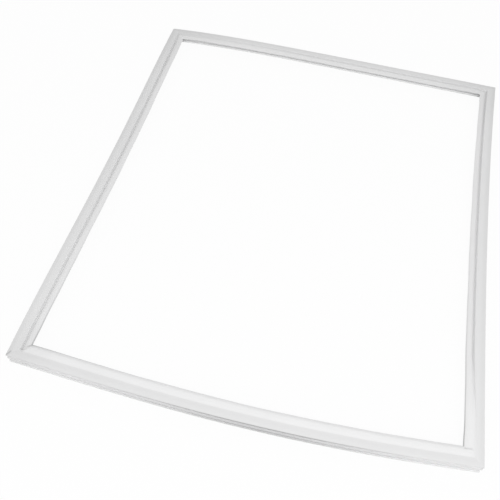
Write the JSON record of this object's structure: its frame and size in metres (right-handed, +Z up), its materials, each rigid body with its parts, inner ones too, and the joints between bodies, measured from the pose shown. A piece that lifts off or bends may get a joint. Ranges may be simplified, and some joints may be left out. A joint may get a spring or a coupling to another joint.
{
  "type": "refrigerator door gasket",
  "caption": "Magnetic door gasket for a refrigerator: a mitre-welded loop of hollow soft vinyl with an inward sealing lip, a clamping foot and magnet strips inside.",
  "frame": {"origin": "centre of the loop's bounding box, on the plane that the foot lies on", "axes": "+X along the two short rails, +Y along the two long rails from the near rail to the far one, +Z up from the foot to the sealing face"},
  "size_m": [0.6102, 0.7656, 0.0183],
  "materials": {
    "vinyl": "soft white vinyl, satin",
    "magnet": "ferrite-filled rubber, dull"
  },
  "bodies": {
    "root": {"vinyl_frame": "vinyl", "magnet_strip_near": "magnet", "magnet_strip_right": "magnet", "magnet_strip_far": "magnet", "magnet_strip_left": "magnet"}
  },
  "joints": []
}
